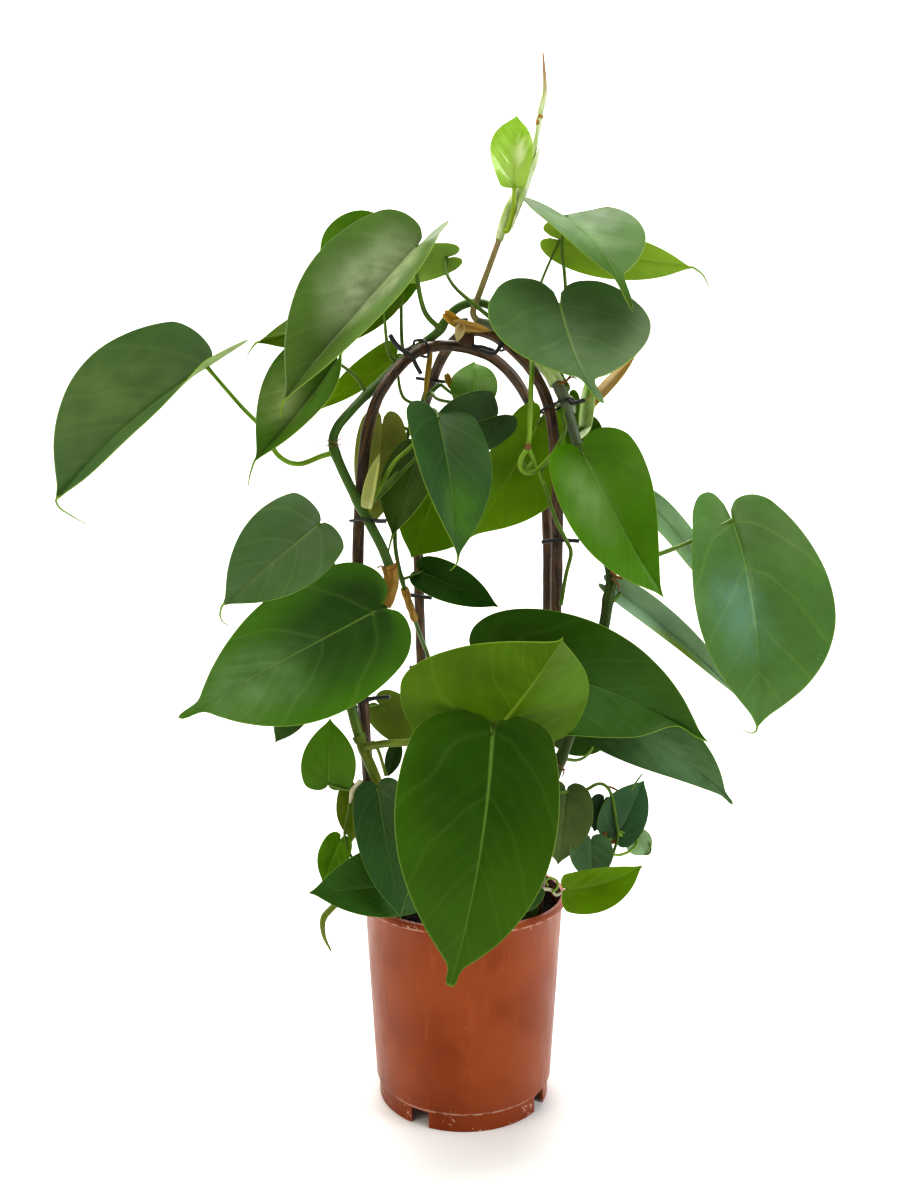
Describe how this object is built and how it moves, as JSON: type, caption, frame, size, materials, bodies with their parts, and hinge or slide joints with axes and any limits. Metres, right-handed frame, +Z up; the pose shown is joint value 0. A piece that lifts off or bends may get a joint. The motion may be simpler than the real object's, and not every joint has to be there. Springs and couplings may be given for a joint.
{
  "type": "potted heartleaf philodendron",
  "caption": "Trailing house plant with heart-shaped leaves, its stems tied to two crossed hoops standing in a round plastic nursery pot filled with soil",
  "frame": {"origin": "middle of the pot's foot, on the surface it stands on", "axes": "+Z up, -Y towards the front, which is the side the picture shows, +X to its right"},
  "size_m": [0.583, 0.3072, 0.8269],
  "materials": {
    "terracotta_plastic": "satin",
    "peat": "matte",
    "hoop_plastic": "satin",
    "tie_plastic": "satin",
    "green_stem": "satin",
    "dry_stem": "satin",
    "dry_sheath": "matte",
    "leaf_green": "satin",
    "leaf_dark": "gloss",
    "leaf_underside_pale": "matte",
    "new_growth": "gloss"
  },
  "bodies": {
    "root": {"clip": "hoop_plastic", "hoop_a": "hoop_plastic", "hoop_b": "hoop_plastic", "leaf_behind_bright": "leaf_green", "leaf_behind_hoop": "leaf_underside_pale", "leaf_behind_stem": "leaf_green", "leaf_behind_upper": "leaf_green", "leaf_big_left": "leaf_green", "leaf_centre_back": "leaf_green", "leaf_centre_dark": "leaf_green", "leaf_centre_left": "leaf_green", "leaf_centre_low": "leaf_underside_pale", "leaf_far_left": "leaf_green", "leaf_far_right": "leaf_green", "leaf_front_big": "leaf_green", "leaf_front_folded": "leaf_underside_pale", "leaf_left_low": "leaf_green", "leaf_left_middle": "leaf_green", "leaf_left_sheen": "leaf_green", "leaf_middle_low": "leaf_green", "leaf_middle_pale": "leaf_underside_pale", "leaf_pale_back": "leaf_underside_pale", "leaf_right_bright": "leaf_green", "leaf_right_dark": "leaf_green", "leaf_right_low": "leaf_green", "leaf_right_strip": "leaf_green", "leaf_right_thin": "leaf_green", "leaf_right_under": "leaf_green", "leaf_small_pointed": "leaf_underside_pale", "leaf_top_bright": "leaf_green", "leaf_top_middle": "leaf_green", "leaf_top_pointed": "leaf_green", "leaf_top_right": "leaf_green", "leaf_top_sheen": "leaf_green", "leaf_upper_left": "leaf_green", "new_leaf": "new_growth", "pot": "terracotta_plastic", "sheath_back": "dry_sheath", "sheath_left": "dry_sheath", "sheath_right": "dry_sheath", "shoot_stem": "dry_stem", "shoot_thin": "green_stem", "shoot_tip": "new_growth", "side_shoot": "dry_stem", "soil": "peat", "spray_low_left": "leaf_dark", "spray_low_right": "leaf_dark", "stem_middle": "green_stem", "tie_left": "tie_plastic", "tie_low_back": "tie_plastic", "tie_low_left": "tie_plastic", "tie_right": "tie_plastic", "tie_top_left": "tie_plastic", "tie_top_right": "tie_plastic", "vine_back": "green_stem", "vine_left": "green_stem", "vine_right": "green_stem"}
  },
  "joints": []
}
